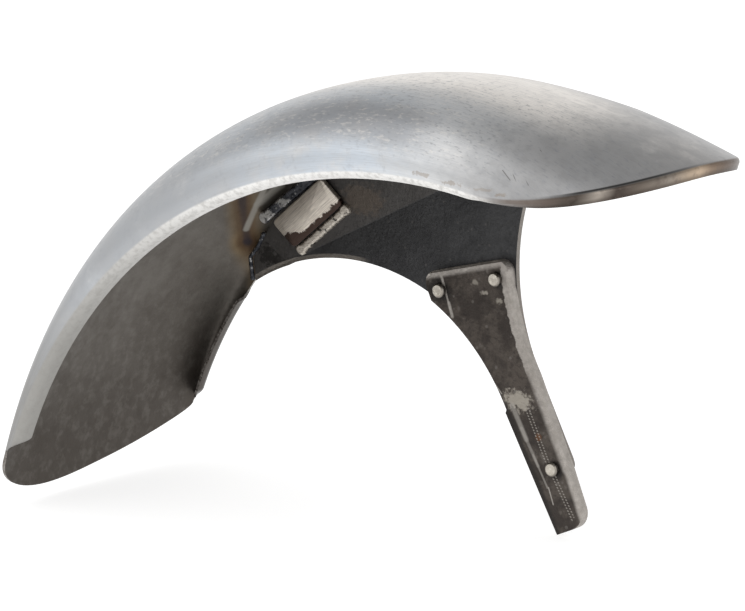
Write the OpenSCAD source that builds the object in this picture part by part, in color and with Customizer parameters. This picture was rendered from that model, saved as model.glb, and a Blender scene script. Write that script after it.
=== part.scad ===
// Short custom front mudguard: one pressed steel shell with a duck-bill visor, and a side plate
// with a thick bracket that bolts to one fork leg.
// The shape is built about the wheel centre (X forward, Y across, Z up) and then moved, so that
// the origin is the middle of the fork pad on the outer face of the side plate.

/* [Shell] */
// outer width of the shell across the wheel
shell_w = 200; // [150:1:260]
// thickness of the pressed sheet
sheet_t = 2; // [1.2:0.1:3]
// radius of the wheel-arch edge about the wheel centre
edge_r = 349; // [300:1:400]
// radius of the crown line over the tyre
crown_r = 324.2; // [285:0.2:370]
// how far the crown circle's centre sits above the wheel centre
crown_up = 78.6; // [60:0.2:95]
// how far the crown circle's centre sits behind the wheel centre
crown_back = 22.5; // [0:0.5:45]
// radius of the flatter crown line over the visor
visor_r = 700; // [400:5:2000]
// angle at which the crown line turns flatter
visor_turn = 6.5; // [-5:0.5:15]
// fullness of the arched section, 2 is an ellipse
section_n = 2.2; // [2:0.05:3]

/* [Shell ends] */
// angle of the rear cut at the two side walls, behind the top of the wheel
rear_side = 69.5; // [55:0.1:75]
// further angle that the rounded rear end reaches on the centre line
rear_round = 5.3; // [3:0.1:9]
// angle by which the rounded rear end reaches further at the open side than at the plate's side
rear_slant = 2.2; // [0:0.1:2.5]
// angle of the two front corners, ahead of the top of the wheel
front_side = 11.2; // [5:0.1:16]
// angle of the visor's tip on the centre line
front_tip = 24.6; // [19:0.1:30]
// squareness of the visor seen from above, 2 is an ellipse
visor_n = 2.53; // [2:0.01:3.5]
// depth of the arched section at the visor's tip
visor_deep = 68; // [45:1:90]

/* [Edges] */
// radius of the turned-in edge along the wheel arch
edge_bend = 8; // [4:0.5:12]
// flat reach of the turned-in lip past its bend
lip_reach = 5; // [2:0.5:10]
// radius of the bend round the visor
visor_bend = 3.5; // [2.5:0.5:6]
// straight drop of the visor's flange past its bend
visor_drop = 4.5; // [2:0.5:10]
// diameter of the small hole in the crown
crown_hole = 6; // [3:0.5:9]
// angle of the crown hole ahead of the top of the wheel
hole_at = -10.7; // [-16:0.1:5]

/* [Side plate] */
// thickness of the side plate
plate_t = 4; // [2.5:0.5:6]
// clear space between the plate's outer face and the shell wall it laps
lap_gap = 0.5; // [0.2:0.1:1]
// radius of the arch cut in the plate's lower edge
plate_arch_r = 165.8; // [150:0.2:180]
// radius of the hollow in the plate's front edge
plate_front_r = 157.8; // [140:0.2:180]
// angle at which the wing is bent in towards the shell
wing_bend = 11.5; // [9:0.5:14]

/* [Bracket] */
// thickness of the bracket
bracket_t = 8; // [5:0.5:12]
// radius of the hollow in the bracket's left edge
bracket_hollow_r = 157.8; // [140:0.2:180]
// width of the bracket's straight leg
leg_w = 30; // [24:0.5:40]
// radius of the bracket's upper front corner
corner_r = 9; // [4:0.5:14]
// radius of the rounded foot of the leg
foot_r = 12; // [6:0.5:15]
// ground chamfer round the top and front of the bracket's face
bracket_chamfer = 1.6; // [0.5:0.1:3]

/* [Studs] */
// thread diameter of the studs
stud_d = 10; // [8:1:12]
// length that each stud stands out of the bracket, on the wheel's side
stud_in = 3.5; // [2:0.5:8]
// length that each stud stands out of the plate, on the fork's side
stud_out = 8; // [6:0.5:20]
// distance between the two upper studs
stud_pitch = 49.2; // [40:0.2:60]

/* [Gusset and welds] */
// length of the gusset along its welds
gusset_l = 60; // [50:0.5:66]
// width of the gusset between its welds
gusset_w = 24.5; // [20:0.5:27]
// thickness of the gusset
gusset_t = 4; // [2:0.5:6]
// radius of the weld beads on the gusset
bead_r = 3.8; // [2.5:0.1:5]
// radius of the weld along the edge of the wing
seam_r = 1.6; // [1:0.1:2.5]

/* [Hidden] */
steel = [0.62, 0.62, 0.61];
dark = [0.25, 0.25, 0.26];
half_w = shell_w / 2;
wall_in = half_w - sheet_t;
plate_out = wall_in - lap_gap;
plate_in = plate_out - plate_t;
face_in = plate_in - bracket_t;
// stud axes in the plane of the plate, along X and Z
stud_a = [-97.4, 238.6];
stud_slant = 16.2;
stud_b = stud_a + stud_pitch * [cos(stud_slant), sin(stud_slant)];
stud_c = [-1.3, 127.3];
pad = [(stud_a[0] + stud_b[0]) / 2, (stud_a[1] + stud_b[1]) / 2];
// the two crown arcs: centre of the first, centre of the second, and the angle where they join
crown_c = [-crown_back, crown_up];
visor_c = crown_c + (crown_r - visor_r) * [sin(visor_turn), cos(visor_turn)];
join_pt = crown_c + crown_r * [sin(visor_turn), cos(visor_turn)];
join_a = atan2(join_pt[0], join_pt[1]);

function ray_r(c, r, a) = let(b = c[0] * sin(a) + c[1] * cos(a)) b + sqrt(b * b - c * c + r * r);
function crown_at(a) = a < join_a ? ray_r(crown_c, crown_r, a) : ray_r(visor_c, visor_r, a);
function ease(k) = let(c = min(1, max(0, k))) c * c * (3 - 2 * c);
function deep_at(a) = let(k = min(1, max(0, (a - front_side) / (front_tip - front_side))))
    max(edge_bend + 1, (crown_at(a) - edge_r) * (1 - k) + visor_deep * k);
// across: 0 at the near wall, 90 on the crown, 180 at the far wall
function side_y(p) = -half_w * sign(cos(p)) * pow(abs(cos(p)), 2 / section_n);
function rise(p) = pow(abs(sin(p)), 2 / section_n);
function skin(a, p) = let(r = crown_at(a) - (deep_at(a) - edge_bend) * (1 - rise(p)))
    [r * sin(a), side_y(p), r * cos(a)];
function unit(v) = v / norm(v);
function inward(a, p) = let(q = min(179.4, max(0.6, p)), e = 0.3,
    da = skin(a + e, q) - skin(a - e, q), dp = skin(a, q + e) - skin(a, q - e)) unit(cross(dp, da));
function round_end(p, n) = pow(max(0, 1 - pow(abs(side_y(p)) / half_w, n)), 1 / n);
function rear_at(p) = -rear_side - (rear_round - rear_slant * side_y(p) / half_w) * round_end(p, 2.6);
function front_at(p) = front_side + (front_tip - front_side) * round_end(p, visor_n);

// grid of the shell: rows run from the rear cut to the visor, columns run across
rows = 44;
cols = 40;
bends = 4;
function row_t(i) = let(k = i / rows) k - 0.1 * sin(360 * k);
function col_p(j) = 180 * j / cols;
function row_a(i, j) = let(p = col_p(j)) rear_at(p) + (front_at(p) - rear_at(p)) * row_t(i);

// the edge runs up the near wall, round the visor and back down the far wall
edge_n = 2 * rows + cols;
function edge_ij(k) = k <= rows ? [k, 0] : (k <= rows + cols ? [rows, k - rows] : [edge_n - k, cols]);
function edge_pt(k) = let(e = edge_ij(k)) skin(row_a(e[0], e[1]), col_p(e[1]));
function edge_in(k) = let(e = edge_ij(k)) inward(row_a(e[0], e[1]), col_p(e[1]));
function edge_along(k) = unit(edge_pt(min(edge_n, k + 1)) - edge_pt(max(0, k - 1)));
function edge_out(k) = unit(cross(edge_in(k), edge_along(k)));
function edge_angle(k) = let(e = edge_ij(k)) row_a(e[0], e[1]);
// how much of the edge here is visor (1) and how much is wheel arch (0)
function is_visor(k) = ease((min(k, edge_n - k) - rows + 3) / 6);
// the far lip is cut away where the wall laps the side plate; both lips run out at the rear
plate_end = -52.5;
function fade(k) = ease((edge_angle(k) + rear_side + 0.2) / 2.4);
function has_lip(k) = k < rows + cols ? 1 : ease((plate_end - edge_angle(k)) / 1.5);
function turn_at(k) = let(v = is_visor(k)) v * 80 + (1 - v) * 90 * has_lip(k);
// the wall is trimmed where it has no lip, so that it laps only the wing and not the flat fork pad
lap_trim = 4;
function bend_at(k) = let(v = is_visor(k), r = edge_bend - lap_trim * (1 - has_lip(k)))
    visor_bend * v + max(0.6, r * fade(k)) * (1 - v);
function reach_at(k) = let(v = is_visor(k))
    max(0.4, visor_drop * v + lip_reach * (1 - v) * has_lip(k) * fade(k));
// a bend of a given radius, flattened to a straight run of the same depth when the turn is nil
function edge_xy(k, s) = let(r = bend_at(k), t = turn_at(k), a = t * s, f = t / 90)
    [f * r * sin(a) + (1 - f) * r * s, r * (1 - cos(a)) * f, a];
function edge_row(k, m, off) =
    let(s = min(m, bends) / bends, q = edge_xy(k, s), l = m > bends ? reach_at(k) : 0,
        d = edge_out(k), n = edge_in(k), a = q[2],
        run = d * cos(a) + n * sin(a), side = n * cos(a) - d * sin(a))
    edge_pt(k) + d * q[0] + n * q[1] + run * l + side * off;
function skin_row(i, j, off) = let(a = row_a(i, j), p = col_p(j)) skin(a, p) + inward(a, p) * off;

// closed sheet: outer skin, its edge strip, then the same again one sheet thickness inside
n_skin = (rows + 1) * (cols + 1);
n_edge = (edge_n + 1) * (bends + 1);
half_pts = n_skin + n_edge;
function sheet_pts(off) = concat(
    [for (i = [0 : rows], j = [0 : cols]) skin_row(i, j, off)],
    [for (k = [0 : edge_n], m = [1 : bends + 1]) edge_row(k, m, off)]);
function at_skin(i, j) = i * (cols + 1) + j;
function at_edge(k, m) = m == 0 ? let(e = edge_ij(k)) at_skin(e[0], e[1])
    : n_skin + k * (bends + 1) + m - 1;
function quad(a, b, c, d) = [[c, b, a], [d, c, a]];
function flip(f, by) = [for (t = f) [t[2] + by, t[1] + by, t[0] + by]];
face_skin = [for (i = [0 : rows - 1], j = [0 : cols - 1])
    each quad(at_skin(i, j), at_skin(i + 1, j), at_skin(i + 1, j + 1), at_skin(i, j + 1))];
face_edge = [for (k = [0 : edge_n - 1], m = [0 : bends])
    each quad(at_edge(k, m), at_edge(k, m + 1), at_edge(k + 1, m + 1), at_edge(k + 1, m))];
// the open border: free edge of the strip, then the rear cut from the far wall to the near wall
border = concat([for (k = [0 : edge_n]) at_edge(k, bends + 1)],
    [for (m = [bends : -1 : 1]) at_edge(edge_n, m)],
    [for (j = [cols : -1 : 0]) at_skin(0, j)],
    [for (m = [1 : bends]) at_edge(0, m)]);
face_rim = [for (b = [0 : len(border) - 1]) let(p = border[b], q = border[(b + 1) % len(border)])
    each quad(p, p + half_pts, q + half_pts, q)];

module sheet() {
    polyhedron(concat(sheet_pts(0), sheet_pts(sheet_t)),
        concat(face_skin, face_edge, flip(face_skin, half_pts), flip(face_edge, half_pts), face_rim));
}

module shell() {
    color(steel) difference() {
        sheet();
        rotate([0, hole_at, 0]) translate([0, 0, crown_at(hole_at) - 12])
            cylinder(h = 24, d = crown_hole, $fn = 24);
    }
}

// draws a flat outline that lies in X and Z, from y0 towards +Y
module slab(y0, t) { translate([0, y0 + t, 0]) rotate([90, 0, 0]) linear_extrude(t) children(); }
function arc(c, r, a0, a1, n) = [for (i = [0 : n]) let(a = a0 + (a1 - a0) * i / n)
    c + r * [cos(a), sin(a)]];
// arc of radius r from p to q, with its centre on the right hand on the way from p to q
function bow_c(p, q, r) = let(h = norm(q - p) / 2, u = (q - p) / (2 * h))
    (p + q) / 2 + [u[1], -u[0]] * sqrt(r * r - h * h);
function bow(p, q, r, n) = let(c = bow_c(p, q, r), a0 = atan2(p[1] - c[1], p[0] - c[0]),
    a1 = atan2(q[1] - c[1], q[0] - c[0]), d = a1 > a0 ? a1 - a0 - 360 : a1 - a0)
    arc(c, r, a0, a0 + d, n);
// rounds one corner of an outline
function fillet(p, c, q, r, n = 8) =
    let(u = unit(p - c), v = unit(q - c), h = acos(max(-1, min(1, u * v))) / 2, m = unit(u + v),
        o = c + m * r / sin(h), s = c + u * r / tan(h) - o, e = c + v * r / tan(h) - o,
        a0 = atan2(s[1], s[0]), d = atan2(s[0] * e[1] - s[1] * e[0], s * e))
    [for (i = [0 : n]) o + r * [cos(a0 + d * i / n), sin(a0 + d * i / n)]];

// side plate: one arch below, one hollow in front, and a leg that runs down behind the bracket
arch_left = [-269.85, 223.1];
arch_right = [-43.4, 174.55];
leg_dir = [0.473, -0.881];
fold_a = [-203.5, 257.9];
fold_dir = unit([0.898, 0.44]);
fold_n = [-fold_dir[1], fold_dir[0]];
front_low = [-19.85, 186.8];
front_top = [-30.5, 313.7];
leg_low = front_low + 67 * unit(leg_dir);
// top of the plate, where its bent wing comes close to the inside of the shell
wing_rise = 0.552 * (crown_at(-23) - edge_r);
function top_pt(a) = (edge_r + wing_rise - 0.032 * pow(a + 23, 2)) * [sin(a), cos(a)];
plate_outline = concat(
    bow(arch_left, arch_right, plate_arch_r, 44),
    [[-41.2, 163.5], [-19, 123]],
    fillet([-19, 123], leg_low + [0.5, -4], front_low, 7),
    bow(front_low, front_top, plate_front_r, 24),
    [for (a = [-2 : -2 : -46]) top_pt(a)],
    [[-270.4, 240]]);

module plate_prism() { slab(plate_in - 3, plate_t + 6) polygon(plate_outline); }
fold_angle = atan2(fold_dir[1], fold_dir[0]);
module fold_frame() {
    translate([fold_a[0], plate_out, fold_a[1]]) rotate([0, -fold_angle, 0]) children();
}
// block above or below the fold, two millimetres past it
module fold_side(up) { fold_frame() translate([-200, -40, up ? -2 : -298]) cube([500, 60, 300]); }
// endless sheet with one bend along the fold
module bent_sheet() {
    up = 160 * [-sin(wing_bend), cos(wing_bend)];
    fold_frame() translate([-200, 0, 0]) rotate([90, 0, 90]) linear_extrude(500)
        polygon([[0, -300], [0, 0], up, up - plate_t * [cos(wing_bend), sin(wing_bend)],
            [-plate_t, -plate_t * tan(wing_bend / 2)], [-plate_t, -300]]);
}
// frame of the wing: X along the fold, Y out through the wing, Z up the wing
module wing_frame() { fold_frame() rotate([wing_bend, 0, 0]) children(); }
module wing_turn() {
    wing_frame() rotate([0, fold_angle, 0]) translate([-fold_a[0], -plate_out, -fold_a[1]]) children();
}
module stud_hole(s, d) {
    translate([s[0], plate_out + 1, s[1]]) rotate([90, 0, 0])
        cylinder(h = plate_t + bracket_t + 2, d = d, $fn = 48);
}

module side_plate() {
    color(dark) difference() {
        intersection() {
            bent_sheet();
            union() {
                intersection() { plate_prism(); fold_side(false); }
                wing_turn() intersection() { plate_prism(); fold_side(true); }
            }
        }
        for (s = [stud_a, stud_b, stud_c]) stud_hole(s, stud_d + 0.5);
    }
}

// bracket: hollow left edge over a step, straight leg, rounded foot, ground chamfer on top and front
hollow_top = [-105, 230.25];
hollow_low = [-40.5, 162.4];
step_pt = [-41.6, 162.3];
left_dir = unit([0.48, -0.877]);
foot_left = [2.6, 81.6];
right_n = [-left_dir[1], left_dir[0]];
foot_tip = foot_left + [23.1, 10.8];
leg_right = foot_tip + (leg_w + 10.8) * unit([-0.38, 0.925]);
nose_low = [-17.2, 189.3];
nose_top = [-39.2, 248.8];
nose_r = 196.2;
nose_c = bow_c(nose_low, nose_top, nose_r);
nose_turn = atan2(nose_top[1] - nose_c[1], nose_top[0] - nose_c[0]);
bracket_outline = concat(
    fillet([-60, 262.7], [-113.5, 248.9], [-105.1, 230.7], 9),
    bow(hollow_top, hollow_low, bracket_hollow_r, 24),
    [step_pt + [0.3, -2]],
    [foot_left],
    fillet(foot_left, foot_tip, leg_right, foot_r),
    [leg_right],
    bow(nose_low, nose_top, nose_r, 14),
    fillet([-38.6, 250], [-41.9, 267.4], [-60, 262.7], corner_r));
// takes a 45 degree chamfer off the face along the line from p to q, material on the right hand
module edge_cut(p, q, c = bracket_chamfer) {
    translate([p[0], face_in, p[1]]) rotate([0, -atan2(q[1] - p[1], q[0] - p[0]), 0])
        translate([-2, 0, 0]) rotate([90, 0, 90])
        linear_extrude(norm(q - p) + 4) polygon([[-1, 1], [c + 1, 1], [-1, -c - 1]]);
}
module leg_bracket() {
    color(dark) difference() {
        slab(face_in, bracket_t) polygon(bracket_outline);
        for (s = [stud_a, stud_b, stud_c]) stud_hole(s, stud_d + 0.1);
        // ground chamfers along the top and the front of the face
        edge_cut([-120, 247.22], [-36, 268.93]);
        edge_cut(nose_low, leg_right);
        edge_cut(leg_right, foot_tip);
        translate([nose_c[0], face_in, nose_c[1]]) rotate([90, 0, 0]) rotate([0, 0, nose_turn - 3])
            rotate_extrude(angle = 6 + 2 * asin(norm(nose_top - nose_low) / 2 / nose_r), $fn = 240)
                polygon([[nose_r - 1, 1], [nose_r - 1, -bracket_chamfer - 1],
                    [nose_r + bracket_chamfer + 1, 1]]);
    }
}

// threaded stud, screwed in through the plate and the bracket: a short neck next to the plate on the
// fork's side, and a chamfer at each end
module stud(s) {
    neck = 1.5;
    color(steel) translate([s[0], plate_out, s[1]]) rotate([90, 0, 0]) union() {
        translate([0, 0, -stud_out]) cylinder(h = 1, d1 = stud_d - 2, d2 = stud_d, $fn = 48);
        translate([0, 0, 1 - stud_out]) cylinder(h = stud_out - 1 - neck, d = stud_d, $fn = 48);
        translate([0, 0, -neck]) cylinder(h = neck, d = stud_d - 1.6, $fn = 48);
        cylinder(h = plate_t + bracket_t + stud_in - 1, d = stud_d, $fn = 48);
        translate([0, 0, plate_t + bracket_t + stud_in - 1])
            cylinder(h = 1, d1 = stud_d, d2 = stud_d - 2, $fn = 48);
    }
}
module stud_rear() { stud(stud_a); }
module stud_front() { stud(stud_b); }
module stud_lower() { stud(stud_c); }

// gusset: flat strap welded along both long edges, low on the wing and high towards the shell
gusset_lean = 4;
module gusset_frame() {
    wing_frame() translate([2.8, -plate_t, 14.4]) rotate([0, -12.8, 0])
        rotate([gusset_lean, 0, 0]) children();
}
module gusset_bar(more = 0) {
    gusset_frame() translate([-gusset_l / 2 - more, -gusset_t - more, -0.02])
        cube([gusset_l + 2 * more, gusset_t + more, gusset_w + 0.04]);
}
module gusset() { color(steel) gusset_bar(); }
module bead(l, r, bulb) {
    union() {
        translate([-l / 2, 0, 0]) rotate([0, 90, 0]) cylinder(h = l, r = r, $fn = 24);
        for (s = [-1, 1]) translate([s * l / 2, 0, 0]) sphere(r = bulb, $fn = 24);
    }
}
// everything outside the wing's inner face
module behind_wing() { wing_frame() translate([-150, -plate_t - 0.02, -60]) cube([300, 40, 160]); }
module weld_gusset_plate() {
    color(steel) difference() {
        wing_frame() translate([3.6, -plate_t, 10.6]) rotate([0, -12.7, 0])
            bead(gusset_l - 4, bead_r, bead_r + 0.3);
        gusset_bar(2);
        behind_wing();
    }
}
module weld_gusset_shell() {
    color(steel) difference() {
        wing_frame() translate([-6.9, -plate_t - 2.6, 42.4]) rotate([0, -11, 0])
            bead(gusset_l + 5, bead_r, bead_r + 0.4);
        gusset_bar(2);
        behind_wing();
    }
}

// seam that closes the end and the top edge of the wing against the shell
fold_in = wing_bend;
along_v = [fold_dir[0], 0, fold_dir[1]];
up_v = [fold_n[0] * cos(fold_in), -sin(fold_in), fold_n[1] * cos(fold_in)];
out_v = [fold_n[0] * sin(fold_in), cos(fold_in), fold_n[1] * sin(fold_in)];
function wing_pt(q, y) = let(d = q - fold_a)
    [fold_a[0], plate_out, fold_a[1]] + along_v * (d * fold_dir) + up_v * (d * fold_n) + out_v * y;
end_path = concat([[-272.6, 223], [-272.6, 232], [-272.4, 241]],
    [for (a = [-46.5 : 1 : -44.5]) top_pt(a) * 1.0045]);
top_path = [for (a = [-30 : 3 : -6]) top_pt(a) * 1.0045];
seam_n = 8;
function seam_ring(path, k) = let(n = len(path), p = path[k],
    t = unit(wing_pt(path[min(n - 1, k + 1)], 0) - wing_pt(path[max(0, k - 1)], 0)), s = cross(t, out_v))
    [for (i = [0 : seam_n - 1]) let(w = 360 * i / seam_n)
        wing_pt(p, -plate_t - 0.2) + seam_r * (out_v * cos(w) + s * sin(w))];
module seam(path) {
    n = len(path);
    pts = [for (k = [0 : n - 1]) each seam_ring(path, k)];
    sides = [for (k = [0 : n - 2], i = [0 : seam_n - 1])
        let(a = k * seam_n + i, b = k * seam_n + (i + 1) % seam_n)
        each [[b + seam_n, b, a], [a + seam_n, b + seam_n, a]]];
    ends = [[for (i = [0 : seam_n - 1]) i],
        [for (i = [seam_n - 1 : -1 : 0]) (n - 1) * seam_n + i]];
    color(steel) polyhedron(pts, concat(sides, ends));
}
module weld_wing_end() { seam(end_path); }
module weld_wing_top() { seam(top_path); }

module place() { translate([-pad[0], -plate_out, -pad[1]]) children(); }
place() shell();
place() side_plate();
place() leg_bracket();
place() stud_rear();
place() stud_front();
place() stud_lower();
place() gusset();
place() weld_gusset_shell();
place() weld_gusset_plate();
place() weld_wing_end();
place() weld_wing_top();
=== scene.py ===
import bpy
import numpy as np
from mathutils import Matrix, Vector
from mathutils.kdtree import KDTree


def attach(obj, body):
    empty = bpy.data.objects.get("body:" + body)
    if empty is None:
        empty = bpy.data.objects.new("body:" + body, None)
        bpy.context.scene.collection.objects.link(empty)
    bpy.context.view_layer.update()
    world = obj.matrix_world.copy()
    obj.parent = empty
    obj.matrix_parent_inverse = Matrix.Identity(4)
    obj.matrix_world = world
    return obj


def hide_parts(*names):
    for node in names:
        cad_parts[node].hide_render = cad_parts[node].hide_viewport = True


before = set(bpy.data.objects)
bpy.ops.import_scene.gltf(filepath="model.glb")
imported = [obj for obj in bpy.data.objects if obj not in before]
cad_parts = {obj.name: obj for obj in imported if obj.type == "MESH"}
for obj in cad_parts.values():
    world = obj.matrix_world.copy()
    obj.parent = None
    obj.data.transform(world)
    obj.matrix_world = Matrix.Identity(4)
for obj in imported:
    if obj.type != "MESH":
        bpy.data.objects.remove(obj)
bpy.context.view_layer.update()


# The shell. One sheet of 2 mm mild steel, wheeled to an arched section over the tyre, with its
# arch edges rolled inwards and its visor flanged down. It is bare metal: brushed and planished
# outside, dull and brown inside, and it is welded to the side plate along the far wall.
pad_centre = np.array([-73.777, 97.5, 245.463])
half_width, sheet, arch_radius = 100.0, 2.0, 349.0
crown_centre, crown_radius = np.array([-22.5, 78.6]), 324.13
visor_radius, visor_turn = 700.0, np.radians(6.5)
join_line = np.array([np.sin(visor_turn), np.cos(visor_turn)])
visor_centre = crown_centre + (crown_radius - visor_radius) * join_line
join_point = crown_centre + crown_radius * join_line
join_angle = np.degrees(np.arctan2(join_point[0], join_point[1]))
section_power, rear_cut, front_corner = 2.2, 69.5, 11.2
visor_span, visor_power, visor_depth = 13.4, 2.53, 68.0
tail_bow, tail_skew, tail_power = 5.3, 2.2, 2.6
arch_bend, arch_lip, visor_bend, visor_drop = 8.0, 5.0, 3.5, 4.5


def unit(v):
    """Each vector of an array divided by its own length."""
    return v / np.maximum(np.linalg.norm(v, axis=-1, keepdims=True), 1e-12)


def ease(k):
    """0 below 0, 1 above 1, and the smooth curve 3k2 - 2k3 between."""
    c = np.clip(k, 0, 1)
    return c * c * (3 - 2 * c)


def reach(centre, radius, angle):
    """Distance from the wheel centre to an arc, along a ray at this angle from straight up."""
    b = centre[0] * np.sin(np.radians(angle)) + centre[1] * np.cos(np.radians(angle))
    return b + np.sqrt(b * b - centre @ centre + radius * radius)


def crown(angle):
    """Height of the crown line: the tyre arc behind the join angle, the flatter visor arc ahead of it."""
    return np.where(angle < join_angle, reach(crown_centre, crown_radius, angle),
                    reach(visor_centre, visor_radius, angle))


def depth(angle):
    """Depth of the section: from the crown to the arch edge, changing evenly over the visor's span
    to a fixed depth at its tip."""
    k = np.clip((angle - front_corner) / visor_span, 0, 1)
    return np.maximum(arch_bend + 1, (crown(angle) - arch_radius) * (1 - k) + visor_depth * k)


def skin(angle, across):
    """Outer skin: a superellipse section, 0 at the near wall and 180 at the far one, hung from the
    crown line."""
    c, s = np.cos(np.radians(across)), np.abs(np.sin(np.radians(across)))
    r = crown(angle) - (depth(angle) - arch_bend) * (1 - s ** (2 / section_power))
    y = -half_width * np.sign(c) * np.abs(c) ** (2 / section_power)
    return np.stack([r * np.sin(np.radians(angle)), y, r * np.cos(np.radians(angle))], -1)


def inward(angle, across):
    """Unit normal into the shell: the cross product of the skin's differences 0.3 degrees each side."""
    q, e = np.clip(across, 0.6, 179.4), 0.3
    return unit(np.cross(skin(angle, q + e) - skin(angle, q - e), skin(angle + e, q) - skin(angle - e, q)))


def grid_quads(index):
    """Corner numbers of every cell of a two-way array of point numbers."""
    return np.stack([index[:-1, :-1], index[1:, :-1], index[1:, 1:], index[:-1, 1:]], -1).reshape(-1, 4)


def piece(name, points, faces, sharp=35):
    """A mesh whose points are each point in the wheel frame less the pad's centre, in metres. Edges
    that turn by more than an angle stay sharp."""
    mesh = bpy.data.meshes.new(name)
    mesh.from_pydata(((points - pad_centre) * 0.001).tolist(), [], faces)
    mesh.shade_smooth()
    mesh.set_sharp_from_angle(angle=np.radians(sharp))
    made = bpy.data.objects.new(name, mesh)
    bpy.context.scene.collection.objects.link(made)
    return made


# the rows run along the arch, closer together towards both ends, and the columns across it
rows, columns, bends, crowding = 210, 150, 7, 0.1
row_share = np.arange(rows + 1) / rows
row_share = row_share - crowding * np.sin(2 * np.pi * row_share)
across_line = 180.0 * np.arange(columns + 1) / columns
across_cosine = np.cos(np.radians(across_line))
wall_line = -half_width * np.sign(across_cosine) * np.abs(across_cosine) ** (2 / section_power)


def bow(power):
    """A superellipse of this power over the shell's width: 1 on the centre line and 0 at each wall."""
    return np.maximum(0, 1 - (np.abs(wall_line) / half_width) ** power) ** (1 / power)


rear_line = -rear_cut - (tail_bow - tail_skew * wall_line / half_width) * bow(tail_power)
front_line = front_corner + visor_span * bow(visor_power)
angles = rear_line + (front_line - rear_line) * row_share[:, None]
acrosses = np.broadcast_to(across_line, angles.shape)
outer, into = skin(angles, acrosses), inward(angles, acrosses)

# the edge runs up the near wall, round the visor and back down the far wall
edge_i = np.concatenate([np.arange(rows + 1), np.full(columns, rows), np.arange(rows - 1, -1, -1)])
edge_j = np.concatenate([np.zeros(rows + 1, int), np.arange(1, columns + 1), np.full(rows, columns)])
edge_points, edge_into, edge_angle = outer[edge_i, edge_j], into[edge_i, edge_j], angles[edge_i, edge_j]
wall_walk, visor_walk, corner_walk = 44, 40, 6
whole_walk = 2 * wall_walk + visor_walk
walk = np.concatenate([wall_walk * np.arange(rows + 1) / rows,
                       wall_walk + visor_walk * np.arange(1, columns + 1) / columns,
                       wall_walk + visor_walk + wall_walk * np.arange(1, rows + 1) / rows])
edge_ahead = np.vstack([edge_points[1:], edge_points[-1:]])
edge_behind = np.vstack([edge_points[:1], edge_points[:-1]])
edge_out = unit(np.cross(edge_into, unit(edge_ahead - edge_behind)))

# the roll turns in by 90 degrees on the arch and 80 on the visor. It runs out at the rear cut, and the
# far wall has none where the side plate is welded to it, ahead of 52.5 degrees behind the top.
arch_turn, flange_turn, least_bend, least_lip = 90, 80, 0.6, 0.4
plate_rear, plate_blend, plate_bend_loss = -52.5, 1.5, 4.0
on_visor = ease((np.minimum(walk, whole_walk - walk) - (wall_walk - corner_walk / 2)) / corner_walk)
run_out = ease((edge_angle + rear_cut + 0.2) / 2.4)
lipped = np.where(walk < wall_walk + visor_walk, 1.0, ease((plate_rear - edge_angle) / plate_blend))
turn = on_visor * flange_turn + (1 - on_visor) * arch_turn * lipped
arch_bends = np.maximum(least_bend, (arch_bend - plate_bend_loss * (1 - lipped)) * run_out)
bend = visor_bend * on_visor + arch_bends * (1 - on_visor)
lip = np.maximum(least_lip, visor_drop * on_visor + arch_lip * (1 - on_visor) * lipped * run_out)


def edge_strip(offset):
    """The rolled edge: round each edge point an arc of its own radius and turn, then a straight lip,
    all set in by an offset. Where the turn is less than 90 degrees the arc is flatter by their ratio."""
    share = np.minimum(np.arange(1, bends + 2), bends) / bends
    a = np.radians(turn[:, None] * share)
    flat = (turn / arch_turn)[:, None]
    out = flat * bend[:, None] * np.sin(a) + (1 - flat) * bend[:, None] * share
    inn = bend[:, None] * (1 - np.cos(a)) * flat
    straight = np.where(np.arange(1, bends + 2) > bends, lip[:, None], 0.0)
    d, n = edge_out[:, None], edge_into[:, None]
    c, s = np.cos(a)[..., None], np.sin(a)[..., None]
    return (edge_points[:, None] + d * out[..., None] + n * inn[..., None]
            + (d * c + n * s) * straight[..., None] + (n * c - d * s) * offset)


sheet_points = np.vstack([part.reshape(-1, 3) for part in
                          (outer, edge_strip(0.0), outer + into * sheet, edge_strip(sheet))])
skin_index = np.arange((rows + 1) * (columns + 1)).reshape(rows + 1, columns + 1)
strip_index = skin_index.size + np.arange(len(walk) * (bends + 1)).reshape(len(walk), bends + 1)
strip_index = np.hstack([skin_index[edge_i, edge_j][:, None], strip_index])
half = skin_index.size + len(walk) * (bends + 1)
skin_quads, strip_quads = grid_quads(skin_index), grid_quads(strip_index)[:, ::-1]
border = np.concatenate([strip_index[:, -1], strip_index[-1, -2:0:-1], skin_index[0, ::-1],
                         strip_index[0, 1:-1]])
beyond = np.roll(border, -1)
rim_quads = np.stack([border, border + half, beyond + half, beyond], -1)
shell_quads = np.vstack([skin_quads, strip_quads, skin_quads[:, ::-1] + half,
                         strip_quads[:, ::-1] + half, rim_quads])
shell = piece("shell_sheet", sheet_points, shell_quads.tolist())
outside_slot, inside_slot, rim_slot = 0, 1, 2
slots = np.full(len(shell_quads), outside_slot, np.int32)
slots[len(skin_quads) + len(strip_quads):-len(rim_quads)] = inside_slot
slots[-len(rim_quads):] = rim_slot
shell.data.polygons.foreach_set("material_index", slots)

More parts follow.
